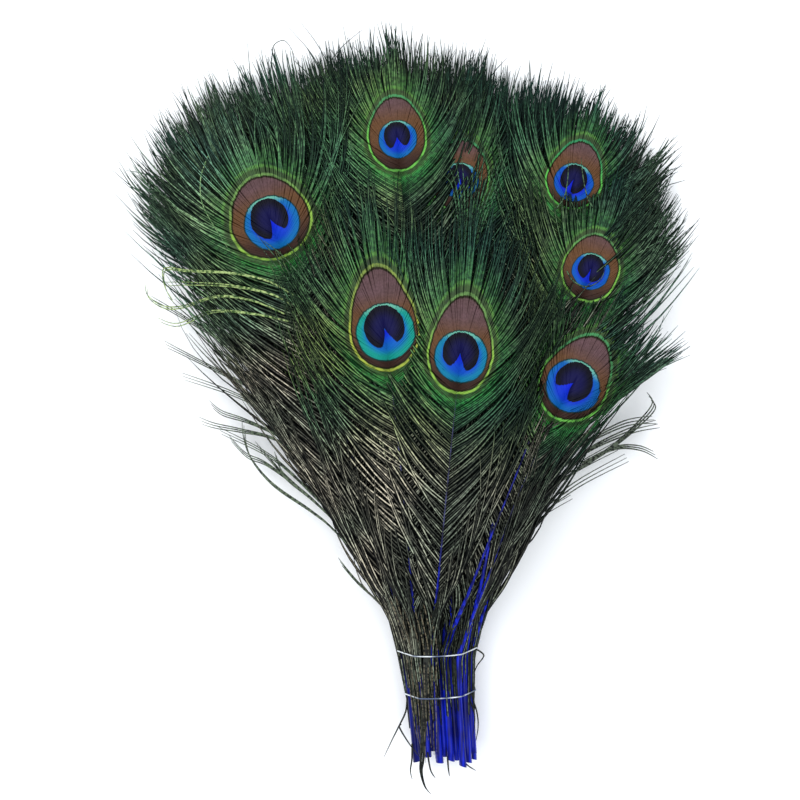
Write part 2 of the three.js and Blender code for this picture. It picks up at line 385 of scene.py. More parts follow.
def position_on_feather(tree, given, across, ahead, lift, unruly):
    """Where a point of a feather lies in the bunch: across from the shaft, ahead along it, and lift above
    its middle. An unruly one may lie over an eye that is to be seen."""
    length = given["Shaft Length"]
    t = (ahead / length).at_least(0).at_most(1)
    t2 = t * t
    t3 = t2 * t
    start_share = t3 * 2 - t2 * 3 + 1
    leave_share = t3 - t2 * 2 + t
    end_share = t2 * 3 - t3 * 2
    arrive_share = t3 - t2
    leave = (given["Start Angle"].sin() * length, given["Start Angle"].cos() * length)
    arrive = (given["End Angle"].sin() * length, given["End Angle"].cos() * length)
    before = ahead.at_most(0)
    past = (ahead - length).at_least(0)
    x = given["Slot X"] * start_share + leave[0] * leave_share
    x = x + given["Eye X"] * end_share + arrive[0] * arrive_share
    y = leave[1] * leave_share + given["Eye Y"] * end_share + arrive[1] * arrive_share
    x = x + given["Slot X"] * (bundle_scale(before) - 1) - before * BUNDLE_LEAN
    x = x + given["End Angle"].sin() * past
    y = y + before + given["End Angle"].cos() * past
    start_turn = t2 * 6 - t * 6
    leave_turn = t2 * 3 - t * 4 + 1
    arrive_turn = t2 * 3 - t * 2
    run_x = start_turn * given["Slot X"] + leave[0] * leave_turn
    run_x = run_x - start_turn * given["Eye X"] + arrive[0] * arrive_turn
    run_y = leave[1] * leave_turn - start_turn * given["Eye Y"] + arrive[1] * arrive_turn
    run = (run_x * run_x + run_y * run_y).root()
    x = x + across * run_y / run
    y = y - across * run_x / run
    layered = y.rise(0, LAYERED_FROM_Y)
    quill_z = given["Slot Z"] * bundle_scale(y.at_most(0)) + BUNDLE_AXIS_Z
    flat_z = layered.blend(quill_z, given["Layer Z"] + 0.5 * MM)
    ahead_share = (y - LEVEL_TO_Y).at_least(0) * ((PILE_AT_TIPS - 1) / (TIP_Y - LEVEL_TO_Y)) + 1
    pile = ahead_share * (1 - x * x * layered * ARCH)
    z = clear_of_shown_eyes(given, x, y, flat_z * pile + lift, pile, unruly)
    return x + TIE_X, y + TIE_Y, z


def clear_of_shown_eyes(given, x, y, z, pile, unruly):
    """z, lowered where a point would lie over the eye of another feather that is to be seen."""
    for shown in feathers:
        if "window" not in shown:
            continue
        tilt = math.radians(shown["tilt"])
        left, right, up, down = (extent * MM for extent in shown["window"])
        from_x = x - shown["eye"][0] * MM
        from_y = y - shown["eye"][1] * MM
        across = from_x * math.cos(tilt) - from_y * math.sin(tilt)
        ahead = from_x * math.sin(tilt) + from_y * math.cos(tilt)
        across = across / across.above(0).blend(left, right)
        ahead = ahead / ahead.above(0).blend(down, up)
        inside = 1 - (across * across + ahead * ahead).rise(0.88, 1.08)
        other = (given["Layer Z"] - shown["layer"] * LAYER_PITCH).size().above(LAYER_PITCH / 2)
        roof = pile * (shown["layer"] * LAYER_PITCH + 0.5 * MM) - WINDOW_DEPTH
        kept_off = other * (1 - unruly.above(shown["clear"]))
        z = z - (z - roof).at_least(0) * inside * kept_off
    return z


def bake_strip(tree, geometry, number, count, along, width, height):
    """A second UV map for the strips: each has a place of its own, its top next to its underside."""
    columns = 64
    rows = (count / columns).ceil()
    face_height = add(tree, "GeometryNodeFieldOnDomain", {"Value": height},
                      domain="FACE", data_type="FLOAT")
    underside = 1 - Number(face_height.outputs[0]).above(-0.4)
    strip_u = (width / 1.74 + 0.5) * 0.48 + underside * 0.5 + 0.01
    row = (number / columns).floor()
    u = (number - row * columns + strip_u) * (0.97 / columns)
    v = (row + along * 0.94 + height * 0.01 + 0.03) / rows
    return stored(tree, geometry, "OFBake", vector(tree, u, v, 0.0), "FLOAT2", "CORNER")


def feather_tree(names, barb_material, shaft_material):
    tree = bpy.data.node_groups.new("grown feather", "GeometryNodeTree")
    given = named_inputs(tree, names)
    length = given["Shaft Length"]
    fan_start = length - FAN_ROOTS
    low_barbs = ((fan_start - FIRST_BARB) / given["Barb Spacing"]).floor()
    count = (low_barbs + FAN_BARBS) * 2

    # Numbers of the barbs, each with chances of its own. The named ones are stored on the strips.
    number = Number(read_back(tree, "number", "FLOAT"))
    blank_at = read_back(tree, "blank", "FLOAT_VECTOR")

    def chance(salt):
        """A number from 0 to 1 of each barb's own."""
        inputs = {"ID": number, "Seed": given["Seed"] * 50 + salt}
        return Number(add(tree, "FunctionNodeRandomValue", inputs, data_type="FLOAT").outputs[1])

    def lock(period, salt):
        """A number from -1 to 1 that barbs near each other share."""
        at = root / period + side * 7 + given["Seed"] * 3.1 + salt
        node = add(tree, "ShaderNodeTexNoise", {"W": at, "Scale": 1.0}, noise_dimensions="1D")
        return (Number(node.outputs[0]) - 0.5) * 2.4

    # Root of each barb: its side, its place on the shaft, and how far it is into the fan at the end.
    pair = (number / 2).floor()
    side = (number - pair * 2) * 2 - 1
    share = (pair / low_barbs).at_most(1)
    fan = ((pair - low_barbs) / FAN_BARBS).at_least(0)
    root = FIRST_BARB + (fan_start - FIRST_BARB) * (share * 1.6 - share * share * 0.6)
    root = root + fan * (FAN_ROOTS + SHAFT_PAST_EYE)
    rank = (root / length).at_least(0).at_most(1)

    # One blank strip for each barb, all in one place until they are bent. Few grow at the base.
    roots = add(tree, "GeometryNodePoints", {"Count": count})
    index = add(tree, "GeometryNodeInputIndex")
    numbered = stored(tree, roots.outputs[0], "number", index.outputs[0], "FLOAT")
    missing = (1 - root.above(BARE_TO_Y)) * chance(20).above(given["Base Cover"])
    grown = add(tree, "GeometryNodeDeleteGeometry", {"Geometry": numbered, "Selection": missing})
    blank = add(tree, "GeometryNodeMeshCylinder",
                {"Vertices": 3, "Side Segments": BARB_SEGMENTS, "Radius": 1.0, "Depth": 1.0})
    shape = add(tree, "GeometryNodeInputPosition")
    blank_kept = stored(tree, blank.outputs["Mesh"], "blank", shape.outputs[0])
    copies = add(tree, "GeometryNodeInstanceOnPoints", {"Points": grown.outputs[0], "Instance": blank_kept})
    strips = add(tree, "GeometryNodeRealizeInstances", {"Geometry": copies.outputs[0]})
    height, width, depth = parts_of(tree, blank_at)
    along = depth + 0.5

    # Angle from root to tip against the shaft, in radians. Neighbours are drawn into locks, and a
    # feather on the edge of the bunch holds its outer barbs in.
    tight = rank.rise(0.74, 0.93)
    loose = 1 - tight
    degree = math.radians(1)
    angle = rank.through((0, 3), (0.1, 12), (0.3, 22), (0.5, 29), (0.7, 33), (0.88, 37), (1, ANGLE_AT_EYE))
    angle = angle * degree
    angle = angle * (1 - fan * FAN_SWING)
    uneven = lock(7 * MM, 0) * 0.13 + (chance(1) - 0.5) * 0.14
    angle = angle + uneven * loose * rank.rise(0, 0.15)
    angle = angle + (chance(14) - 0.5) * 0.03 * tight
    outward = side * given["End Angle"]
    widest = rank.through((0, 23), (0.1, 33), (0.35, 48), (0.6, 58), (0.85, 78), (1, 96)) * degree
    widest = widest * (1 - side.above(0) * 0.21)
    angle = angle.at_most(widest - outward + (chance(2) - 0.5) * 0.16 * loose)
    spare = widest - outward - angle

    # Length, and how the barb bends on its way out. Locks of outer barbs below the eye stay short, and
    # the tips of the fan are drawn into clumps.
    reach = rank.through((0, 36), (0.1, 70), (0.3, 92), (0.6, 80), (0.82, 64), (1, 53)) * MM
    reach = reach * given["Vane Width"] * (0.8 + chance(3) * 0.32)
    short = rank.through((0, 0), (0.08, 0.4), (0.2, 0.9), (0.55, 1), (0.72, 0.8), (0.86, 0), (1, 0))
    short = short * (outward * 4).at_least(0).at_most(1) * lock(9 * MM, 200).rise(-0.3, 0.1)
    reach = reach * (1 - short * (side.above(0) * 0.12 + 0.36))
    tip_reach = given["Tip Reach"] * (0.86 + chance(4) * 0.22 + lock(1.6 * MM, 120) * 0.1)
    reach = fan.rise(0, 0.6).blend(reach, tip_reach)
    stray = chance(5).above(0.985) * loose
    curl = rank.through((0, 0.1), (0.1, 0.5), (0.3, 0.75), (0.6, 0.8), (0.85, 0.85), (1, 0.8))
    curl = curl.at_most(spare.at_least(0) * 2 + 0.3)
    uneven = lock(13 * MM, 40) * 0.3 + (chance(6) - 0.5) * 0.3
    curl = curl + uneven * loose + stray * (chance(7) - 0.25) * 1.2
    curl = curl * (1 - fan)
    to_clump = ((fan * FAN_CLUMPS + chance(17) * 0.5).floor() + 0.5) / FAN_CLUMPS - fan
    drawn = to_clump * FAN_SWING * ANGLE_AT_EYE * degree * 1.5 + (chance(15) - 0.5) * 0.22
    drawn = drawn + chance(18).above(0.92) * (chance(19) - 0.5) * 1.4
    sway = (drawn * fan.above(0) + lock(4 * MM, 60) * 0.45 * tight * (1 - fan)) * along
    phase = lock(9 * MM, 80) * 2.5 + chance(9) * 1.5
    wave = ((along * (4.5 + chance(8) * 2) + phase).sin() - phase.sin()) * along * (0.7 + stray) * MM
    wave = wave * (loose + tight * along.rise(0.6, 1) * 0.6)

    # The barb's own line on the flat feather. It leaves the shaft wider than it ends. At the base it
    # lies along the quill instead.
    turn = angle + curl * (0.5 - along * 0.5) - sway * along * 0.5
    across = turn.sin() * along * reach * side + wave
    ahead = root + turn.cos() * along * reach
    heading = (angle + curl * (0.5 - along) - sway * along) * side
    outer = (outward * 5).at_least(-1).at_most(1)
    lift = ((chance(10) - 0.45) * 2.4 + outer * 5) * along * MM * loose + stray * along * along * 4 * MM
    at_base = 1 - ahead.rise(4 * MM, 34 * MM)
    around = chance(13) * math.tau
    across = across * (1 - at_base * 0.8) + around.cos() * at_base * ROUND_QUILL
    lift = lift * (1 - at_base) + around.sin() * at_base * ROUND_QUILL

    # Its width and height: a flat strip with a low ridge, fine as a hair at the tip.
    strip = rank.rise(0.6, 0.9).blend(1.28, 1.12) * MM
    taper = along.through((0, 0.7), (0.08, 1), (0.5, 0.86), (0.7, 0.5), (0.87, 0.3), (1, 0.1))
    held = along.through((0, 0.8), (0.1, 1), (0.52, 0.95), (0.72, 0.56), (0.87, 0.36), (1, 0.12))
    taper = tight.blend(taper, held)
    half = strip * taper * width * BLANK_TO_HALF_WIDTH * (1 - at_base * 0.35) * (1 - stray * 0.5)
    across_edge = across + heading.cos() * half
    ahead_edge = ahead - heading.sin() * half
    lift = lift + height * taper * 0.14 * MM + (chance(11) - 0.5) * 0.14 * MM
    x, y, z = position_on_feather(tree, given, across_edge, ahead_edge, lift, chance(16))
    bent = add(tree, "GeometryNodeSetPosition",
               {"Geometry": strips.outputs[0], "Position": vector(tree, x, y, z.at_least(0.15 * MM))})

    eye_place = vector(tree, across_edge * 1000, (ahead_edge - length) * 1000, given["Zone Blue"])
    eye_ring = vector(tree, given["Ring Half Width"], given["Ring Up"], given["Ring Down"])
    eye_spot = vector(tree, given["Zone Size"], given["Spot Turn"], given["Spot Opening"])
    leftward = (heading + given["End Angle"]).sin() * -1
    barbs = stored(tree, bent.outputs[0], "eye_place", eye_place)
    barbs = stored(tree, barbs, "strand", vector(tree, along, width * BLANK_TO_EDGE, chance(12)))
    barbs = stored(tree, barbs, "eye_ring", eye_ring)
    barbs = stored(tree, barbs, "eye_spot", eye_spot)
    barbs = stored(tree, barbs, "turned", vector(tree, given["Back"], given["Ring Yellow"], leftward))
    barbs = bake_strip(tree, barbs, number, count, along, width, height)
    barbs = add(tree, "GeometryNodeSetMaterial", {"Geometry": barbs, "Material": barb_material}).outputs[0]

    # The shaft: a tube with a hollow cut end, along the same line.
    tube = add(tree, "GeometryNodeMeshCylinder",
               {"Vertices": SHAFT_SIDES, "Side Segments": SHAFT_SEGMENTS, "Radius": 1.0, "Depth": 1.0})
    tube_x, tube_y, tube_depth = parts_of(tree, shape.outputs[0])
    station = (tube_depth + 0.5) * SHAFT_SEGMENTS
    hollow = 1 - (station - 1).at_least(0).at_most(1)
    deep = 1 - station.at_most(1)
    step = ((station - 2) / (SHAFT_SEGMENTS - 2)).at_least(0)
    shaft_ahead = given["Cut Y"] + (length + SHAFT_PAST_EYE - given["Cut Y"]) * step + deep * 2.5 * MM
    shaft_rank = (shaft_ahead / length).at_least(0)
    radius = shaft_rank.through((0, 1.35), (0.13, 0.72), (0.3, 0.42), (0.7, 0.32), (1, 0.12)) * MM
    radius = (radius - shaft_ahead.at_most(0) * 0.005) * (1 - hollow * 0.42)
    dyed = given["Dyed To"]
    past_dye = shaft_ahead.rise(dyed - 12 * MM, dyed + 8 * MM)
    over = shaft_ahead.rise(8 * MM, 30 * MM) * (1 - past_dye) * given["Over"]
    rise = tube_x * radius * 0.9 - shaft_rank.rise(0.06, 0.32) * 0.15 * MM + over
    x, y, z = position_on_feather(tree, given, tube_y * radius, shaft_ahead, rise, radius * 0)
    quill = vector(tree, shaft_ahead * 1000, hollow, dyed * 1000)
    shaft = stored(tree, tube.outputs["Mesh"], "quill", quill)
    shaft = add(tree, "GeometryNodeSetPosition",
                {"Geometry": shaft, "Position": vector(tree, x, y, z.at_least(0.05 * MM))}).outputs[0]
    shaft_uv = parts_of(tree, tube.outputs["UV Map"])
    place_uv = vector(tree, shaft_uv[0] * 0.025 + 0.972, shaft_uv[1] * 0.98 + 0.01, 0.0)
    shaft = stored(tree, shaft, "OFBake", place_uv, "FLOAT2", "CORNER")
    shaft = add(tree, "GeometryNodeSetMaterial", {"Geometry": shaft, "Material": shaft_material}).outputs[0]

    both = add(tree, "GeometryNodeJoinGeometry")
    tree.links.new(shaft, both.inputs[0])
    tree.links.new(barbs, both.inputs[0])
    smooth = add(tree, "GeometryNodeSetShadeSmooth", {"Geometry": both.outputs[0]})
    output = add(tree, "NodeGroupOutput")
    tree.links.new(smooth.outputs[0], output.inputs["Geometry"])
    return tree


# ---------------------------------------------------------------------------------------------
# Feathers: colours. Structural colour in rings round the eye's middle, on brown-black keratin; the
# quills are dipped in royal blue dye.
# ---------------------------------------------------------------------------------------------


def new_material(name):
    material = bpy.data.materials.new(name)
    material.use_nodes = True
    return material, material.node_tree, material.node_tree.nodes["Principled BSDF"]


def mixed(tree, factor, start, end):
    """start where factor is 0, end where it is 1; colours or sockets."""
    inputs = {0: factor, 6: start, 7: end}
    return add(tree, "ShaderNodeMix", inputs, data_type="RGBA").outputs[2]


def attribute(tree, name):
    return add(tree, "ShaderNodeAttribute", None, attribute_name=name).outputs["Vector"]


def noise_at(tree, position, scale, detail=2.0):
    inputs = {"Vector": position, "Scale": scale, "Detail": detail}
    return Number(add(tree, "ShaderNodeTexNoise", inputs).outputs[0])


def bead_group():
    """Painted glints, small dots along a barb, as a group of nodes: 1 where one shines, 0 between them."""
    tree = bpy.data.node_groups.new("beads of a barb", "ShaderNodeTree")
    for name in ("Scale", "Dark To", "Bright From"):
        tree.interface.new_socket(name, in_out="INPUT", socket_type="NodeSocketFloat")
    tree.interface.new_socket("Glint Beads", in_out="OUTPUT", socket_type="NodeSocketFloat")
    given = add(tree, "NodeGroupInput").outputs
    position = add(tree, "ShaderNodeTexCoord").outputs["Object"]
    mask = noise_at(tree, position, given["Scale"], 3.0).rise(given["Dark To"], given["Bright From"])
    feed(add(tree, "NodeGroupOutput").inputs["Glint Beads"], mask)
    return tree


glint_beads_group = bead_group()


def glint_beads(tree, scale, dark_to, bright_from):
    inputs = {"Scale": scale, "Dark To": dark_to, "Bright From": bright_from}
    return Number(add(tree, "ShaderNodeGroup", inputs, node_tree=glint_beads_group).outputs["Glint Beads"])


def barb_material():
    material, tree, shader = new_material("iridescent_barbs")
    x, y, blue = parts_of(tree, attribute(tree, "eye_place"))
    ring_half, ring_up, ring_down = parts_of(tree, attribute(tree, "eye_ring"))
    zone_size, turn, opening = parts_of(tree, attribute(tree, "eye_spot"))
    along, across, chance = parts_of(tree, attribute(tree, "strand"))
    back, yellow, leftward = parts_of(tree, attribute(tree, "turned"))
    position = add(tree, "ShaderNodeTexCoord").outputs["Object"]
    in_bunch = parts_of(tree, position)[0]

    def noise(scale, detail=2.0):
        return noise_at(tree, position, scale, detail)

    def oval(x, y, half_x, up, down):
        """1 on the edge of an egg shape, less inside."""
        return ((x / half_x).power(2) + (y / y.above(0).blend(down, up)).power(2)).root()

    def paint(code_a, code_b, share):
        return mixed(tree, share, colour(code_a), colour(code_b))

    # Barbs away from the eye: a beaded rib between dark edges, bright on some and dim on others. Green
    # near the eye, teal at the fringe past it, and olive to tan lower down. Painted light on top: the
    # ribs carry painted glints, barbs that point to the left and lie on the left get a painted sheen,
    # the others a dim teal of painted shade, and painted highlights pale the ribs at both far sides.
    core = 1 - across.size().rise(0.12, 0.5)
    # Painted glints in dots along the rib.
    rib_glint_beads = glint_beads(tree, 700, 0.4, 0.6)
    # Paler ribs past the right of the bunch, where the painted sheen is lifted again.
    far_right = in_bunch.rise(0.07, 0.105)
    # Painted sheen: brighter for barbs that point to the left and lie on the left, towards the lamp.
    painted_sheen = (leftward * 0.6 - in_bunch * 4).rise(-0.8, 0.6).at_least(far_right * 0.8)
    low = (y * -1).rise(15, 60)
    bright = low.blend(chance.rise(0.2, 0.95), chance.rise(0.3, 0.85)) * 0.85 + 0.15
    # The rib line with its painted glints, a random brightness per barb and the painted sheen.
    rib_and_glints = core * (rib_glint_beads * 0.65 + 0.35) * bright * (painted_sheen * 0.5 + 0.5)
    fringe = y.rise(20, 48)
    patch = noise(28, 3.0).rise(0.35, 0.65)
    edge = mixed(tree, low, paint("05140f", "061412", patch), paint("06090a", "090c0c", patch))
    edge = mixed(tree, fringe, edge, paint("04110f", "051818", patch))
    rib = mixed(tree, low, paint("98b068", "689e6c", patch), paint("d6ccb4", "a8b49c", patch))
    far_rib = mixed(tree, yellow, paint("3e7058", "468878", patch), paint("84905e", "5e8c5c", patch))
    rib = mixed(tree, fringe, rib, far_rib)
    # Painted highlight: paler ribs at the far left fringe.
    left_fringe_highlight = (leftward * 0.04 - in_bunch).rise(0.06, 0.11) * (1 - low) * 0.7
    rib = mixed(tree, left_fringe_highlight, rib, paint("9cc08e", "80b8a4", patch))
    rib = mixed(tree, far_right * (1 - low) * 0.7, rib, paint("8cb49a", "84b4ac", patch))
    # Painted shade: ribs away from the painted sheen turn a dim teal.
    rib = mixed(tree, (1 - painted_sheen) * (1 - low * 0.7) * 0.65, rib, colour("307266"))
    shade = mixed(tree, rib_and_glints, edge, rib)

    # The eye, from the outside in.
    x = x + (noise(110) - 0.5) * 1.6
    y = y + (chance - 0.5) * 0.35 + (noise(800) - 0.5) * 0.4
    squeezed = x * (y.at_least(0) * 0.008 + 1)
    ring = oval(squeezed, y, ring_half, ring_up, ring_down) + (noise(230) - 0.5) * 0.035
    zone_x = x / zone_size
    zone_y = y / zone_size
    zone = oval(zone_x - 0.3, zone_y + 1.4, 10.3, 9.9, 10.4)
    spot = oval(zone_x, zone_y, 7.3, 8.1, 8.0)
    from_apex = zone_y + 0.5
    below = (zone_x * turn.sin() - from_apex * turn.cos()).at_least(0)
    beside = (zone_x * turn.cos() + from_apex * turn.sin()).size()
    clear = beside + (from_apex * 2).at_least(0) - below.power(1.3) * opening
    lobes = ((1 - spot).at_least(0) * 7.5 * clear.at_least(0)).rise(0.15, 0.75)
    top = y.rise(0, 12)
    fine = core * rib_glint_beads * 0.65 + 0.15
    streak = noise(1300, 1.0).rise(0.3, 0.7)
    patchy = noise(260).rise(0.3, 0.6)

    bronze = paint("34221c", "5e4028", y.rise(-11, 1))
    bronze = mixed(tree, y.rise(5, 15), bronze, paint("5e464a", "564042", patchy))
    bronze = mixed(tree, streak * 0.5, bronze, mixed(tree, 0.5, bronze, colour("1c1210")))
    thin_ring = mixed(tree, yellow, paint("54ac48", "2c8a5a", top), paint("96a440", "869a48", top))
    water = paint("0f8478", "0648a0", blue)
    deep = paint("0c5aa4", "0a22b0", blue)
    heart = mixed(tree, zone.rise(0.92, 0.6), water, deep)
    wedge = mixed(tree, below.rise(0.5, 7.5), colour("0c20c0"), deep)
    rings = (
        (ring.rise(2.1, 1.3) * fine * 0.75, paint("2c6e34", "386c2e", top)),
        (ring.rise(1.6, 1.2) * (y * -1).rise(6, 14) * fine * 0.85, colour("2c8c40")),
        (ring.rise(1.32, 1.26) * core * patchy * (top * 0.55 + 0.2), paint("5a8a34", "5a8a3e", top)),
        (ring.rise(1.25, 1.18) * (core * 0.4 + 0.35), paint("2a2c1c", "2e3026", top)),
        (ring.rise(1.095, 1.07) * (patchy * 0.65 + 0.35) * (1 - top * 0.25), thin_ring),
        (ring.rise(1.035, 1.01), colour("1c190c")),
        (ring.rise(0.99, 0.96), bronze),
        (zone.rise(1.07, 1.03), colour("0e2a28")),
        (zone.rise(1.02, 0.98), mixed(tree, zone_y.rise(4, 8), water, colour("5fa08c"))),
        (zone.rise(0.97, 0.9) * (1 - zone_y.rise(3.5, 5.5)), heart),
        (below.rise(0, 1) * (1 - spot).rise(-0.05, 0.1), wedge),
        (lobes, paint("0a0a3c", "040412", spot.rise(0.3, 0.9))),
    )
    for mask, tint in rings:
        shade = mixed(tree, mask, shade, tint)

    # A feather that lies face down shows the dull side of its barbs.
    dull = mixed(tree, rib_and_glints, edge, mixed(tree, 0.35, rib, colour("2a3a2c")))
    shade = mixed(tree, back, shade, dull)
    feed(shader.inputs["Base Color"], shade)
    feed(shader.inputs["Roughness"], noise(500).blend(0.45, 0.65))
    feed(shader.inputs["Specular IOR Level"], 0.1)
    return material


def shaft_material():
    material, tree, shader = new_material("dyed_shaft")
    ahead, hollow, dyed = parts_of(tree, attribute(tree, "quill"))
    position = add(tree, "ShaderNodeTexCoord").outputs["Object"]
    x, y, z = parts_of(tree, position)
    # Painted shade: the quills left of the tie lie under barbs, so their dye is darkened to navy.
    left = 1 - (x - TIE_X).rise(-10 * MM, 2 * MM)
    patch = noise_at(tree, position, 160, 4.0)
    dye_edge = ahead - dyed + (patch - 0.5) * 20
    # Painted highlights: thin streaks of bright royal blue along the quills between dark navy, with some
    # patchy tone of the dye.
    streak = noise_at(tree, vector(tree, x, y * 0.05, z), 700)
    streak_highlights_and_tone = streak.rise(0.4, 0.62) * 0.75 + patch.rise(0.35, 0.7) * 0.25
    dye = mixed(tree, streak_highlights_and_tone, colour("040852"), colour("1226c0"))
    dye = mixed(tree, left * 0.7, dye, colour("0a0e4a"))
    dye = mixed(tree, ahead.rise(10, 60) * (patch.rise(0.66, 0.4) * 0.6 + 0.3), dye, colour("0a0c28"))
    half_dyed = mixed(tree, patch.rise(0.4, 0.65), colour("0c0c1c"), colour("34365a"))
    horn = mixed(tree, ahead.rise(90, 115), half_dyed, colour("1c1e18"))
    shade = mixed(tree, dye_edge.rise(-8, 8), dye, horn)
    shade = mixed(tree, hollow, shade, colour("6a72b0"))
    feed(shader.inputs["Base Color"], shade)
    feed(shader.inputs["Roughness"], patch.blend(0.25, 0.45))
    feed(shader.inputs["Specular IOR Level"], 0.16)
    return material


def as_plain_mesh(holder, name, tree, values):
    """A piece made by a tree of nodes, as a plain mesh in an object of its own."""
    modifier = holder.modifiers.new("grow", "NODES")
    modifier.node_group = tree
    sockets = {item.name: item.identifier for item in tree.interface.items_tree if item.in_out == "INPUT"}
    for key, value in values.items():
        modifier[sockets[key]] = float(value)
    evaluated = holder.evaluated_get(bpy.context.evaluated_depsgraph_get())
    mesh = bpy.data.meshes.new_from_object(evaluated)
    mesh.name = name
    holder.modifiers.remove(modifier)
    holder.data = mesh
    return holder


def what_it_is_given(feather):
    """The inputs of the tree of nodes that make one feather the feather it is."""
    eye_x = feather["eye"][0] * MM
    eye_y = feather["eye"][1] * MM
    lean = math.atan2(eye_x - feather["slot_x"], eye_y)
    return {
        "Slot X": feather["slot_x"],
        "Slot Z": feather["slot_z"],
        "Layer Z": feather["layer"] * LAYER_PITCH,
        "Eye X": eye_x,
        "Eye Y": eye_y,
        "Shaft Length": math.hypot(eye_x - feather["slot_x"], eye_y),
        "Start Angle": lean * START_LEAN,
        "End Angle": math.radians(feather["tilt"]),
        "Cut Y": feather["cut_y"],
        "Tip Reach": feather["tip"] * MM,
        "Vane Width": feather["width"],
        "Ring Half Width": feather["ring"][0],
        "Ring Up": feather["ring"][1],
        "Ring Down": feather["ring"][2],
        "Zone Size": feather["zone"],
        "Zone Blue": feather["blue"],
        "Spot Turn": math.radians(feather["turn"]),
        "Spot Opening": feather["opening"],
        "Ring Yellow": feather["yellow"],
        "Back": feather["back"],
        "Barb Spacing": (1.8 if feather["back"] else 1.3) * MM,
        "Base Cover": feather["base_cover"],
        "Over": feather["over"] * MM,
        "Dyed To": feather["dyed"] * MM,
        "Seed": feather["layer"] + 1,
    }


grown_feather = feather_tree(what_it_is_given(feathers[0]), barb_material(), shaft_material())
for feather in feathers:
    number = feather["layer"] + 1
    piece = place(bpy.data.meshes.new(f"barbed_feather_{number:02d}"), f"barbed_feather_{number:02d}")
    as_plain_mesh(piece, piece.name, grown_feather, what_it_is_given(feather))
    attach(piece, "root")
    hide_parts(f"feather_{number:02d}")

# ---------------------------------------------------------------------------------------------
# Loose barbs. Some have come out of order: hairs past the tips, bent loops on the left, long ones on
# both sides, hairs across the eyes, and bits at the base. Each is a route from the tie in millimetres.
# ---------------------------------------------------------------------------------------------
STRAND_SIDES = 5
STRAND_STEPS = 6
PARTING = Vector((0.75, -1.5, 0))
STACKING = Vector((0, 0, 0.4))

TIP_HAIRS = (
    ((-43, 230, 12), (-44, 237, 13), (-49, 246, 14), (-55, 254, 13)),
    ((-44, 228, 12), (-47, 235, 13), (-52, 243, 14), (-60, 252, 13)),
    ((-50, 230, 12), (-45, 236, 13), (-38, 244, 15), (-30, 251, 14)),
    ((-75, 224, 9), (-76, 236, 10), (-77, 247, 9)),
    ((-68, 230, 9), (-67, 240, 10), (-66, 245, 12), (-62, 247, 12), (-59, 244, 10), (-57, 238, 9)),
    ((-36, 232, 12), (-36, 242, 13), (-38, 253, 12)),
    ((12, 230, 12), (17, 240, 13), (20, 248, 12)),
)
LEFT_LOOPS = (
    ((-56, 142, 35), (-67, 148, 35), (-81, 151, 34), (-98, 152, 32), (-106, 153, 31), (-108, 151, 30.5),
     (-107, 145, 30), (-104, 140, 30)),
    ((-58, 139, 35), (-66, 143, 35), (-81, 146, 34), (-97, 147, 32), (-107, 147, 30)),
    ((-60, 135, 35), (-72, 140, 34.5), (-86, 142, 33), (-100, 138, 31), (-108, 138, 30), (-114, 142, 29),
     (-115, 146, 28)),
    ((-58, 132, 35), (-72, 135, 34.5), (-88, 136, 33), (-102, 131, 30), (-110, 133, 28)),
)
LEFT_STRANDS = (
    ((-46, 78, 27), (-60, 92, 22), (-80, 103, 16), (-103, 111, 10)),
    ((-48, 90, 28), (-64, 101, 23), (-84, 111, 17), (-102, 120, 12), (-110, 124, 10)),
    ((-50, 102, 29), (-66, 114, 24), (-86, 125, 18), (-106, 137, 13), (-115, 142, 11)),
    ((-34, 48, 27), (-48, 62, 22), (-66, 78, 16), (-88, 89, 10)),
    ((-52, 78, 22), (-66, 86, 17), (-79, 89, 14), (-90, 91, 11), (-96, 93, 9)),
    ((-52, 80, 23), (-65.5, 88, 19), (-77, 93, 15), (-86.6, 96, 12), (-91.6, 99.6, 10)),
    ((-38, 50, 24), (-51, 62.5, 19), (-68, 75, 14), (-77, 79, 12), (-84, 86, 10)),
    ((-30, 38, 26), (-42.6, 50.6, 20), (-51, 57, 17), (-66, 67, 13), (-75, 77, 10), (-78, 85, 9),
     (-78.5, 91, 8)),
    ((-38, 50, 20), (-50, 61, 16), (-60, 69, 14), (-65.5, 75, 12), (-73, 83, 10)),
    ((-48, 60, 20), (-58.7, 68.6, 15), (-63, 73, 13), (-65, 79, 12)),
    ((-22, 20, 24), (-30, 26.5, 19), (-34.5, 31, 17), (-39, 36.4, 16)),
)
RIGHT_STRANDS = (
    ((14, 26, 24), (26.8, 42.4, 19), (36, 52, 17), (56, 67, 14), (77, 78, 11)),
    ((16, 34, 24), (28.8, 50.4, 20), (50, 70, 16), (72.5, 82.6, 12)),
    ((34.2, 47.7, 20), (34, 44, 19.5), (30.8, 35.6, 19), (26, 27, 19), (19.9, 19.7, 20)),
    ((12, 18, 24), (20.8, 29.6, 20), (27.8, 39.3, 18), (34, 48, 16), (41.2, 55.3, 15), (54, 63, 13)),
    ((44, 76, 22), (60, 84.6, 17), (76, 92, 14), (88, 93.4, 12)),
    ((46, 72, 22), (62, 82, 17), (78, 89, 14), (89.6, 91.7, 11)),
    ((58, 76, 16), (72, 82, 13), (82, 82, 11), (89, 79, 9)),
    ((48, 68, 18), (70, 82, 14), (82, 92, 12), (88, 99, 11), (86, 103, 11)),
    ((19.9, 23.8, 29), (20.6, 34, 30.5), (20.3, 43.2, 32), (18.2, 51.1, 34), (13.3, 57.8, 36)),
)
GREEN_STRANDS = (
    ((2.4, 25.9, 35), (9.1, 32.9, 36.5), (16.4, 41, 35)),
    ((-91, 199, 23), (-94, 190, 24), (-93.5, 180, 25), (-89, 171, 26.5), (-82, 160, 28)),
)
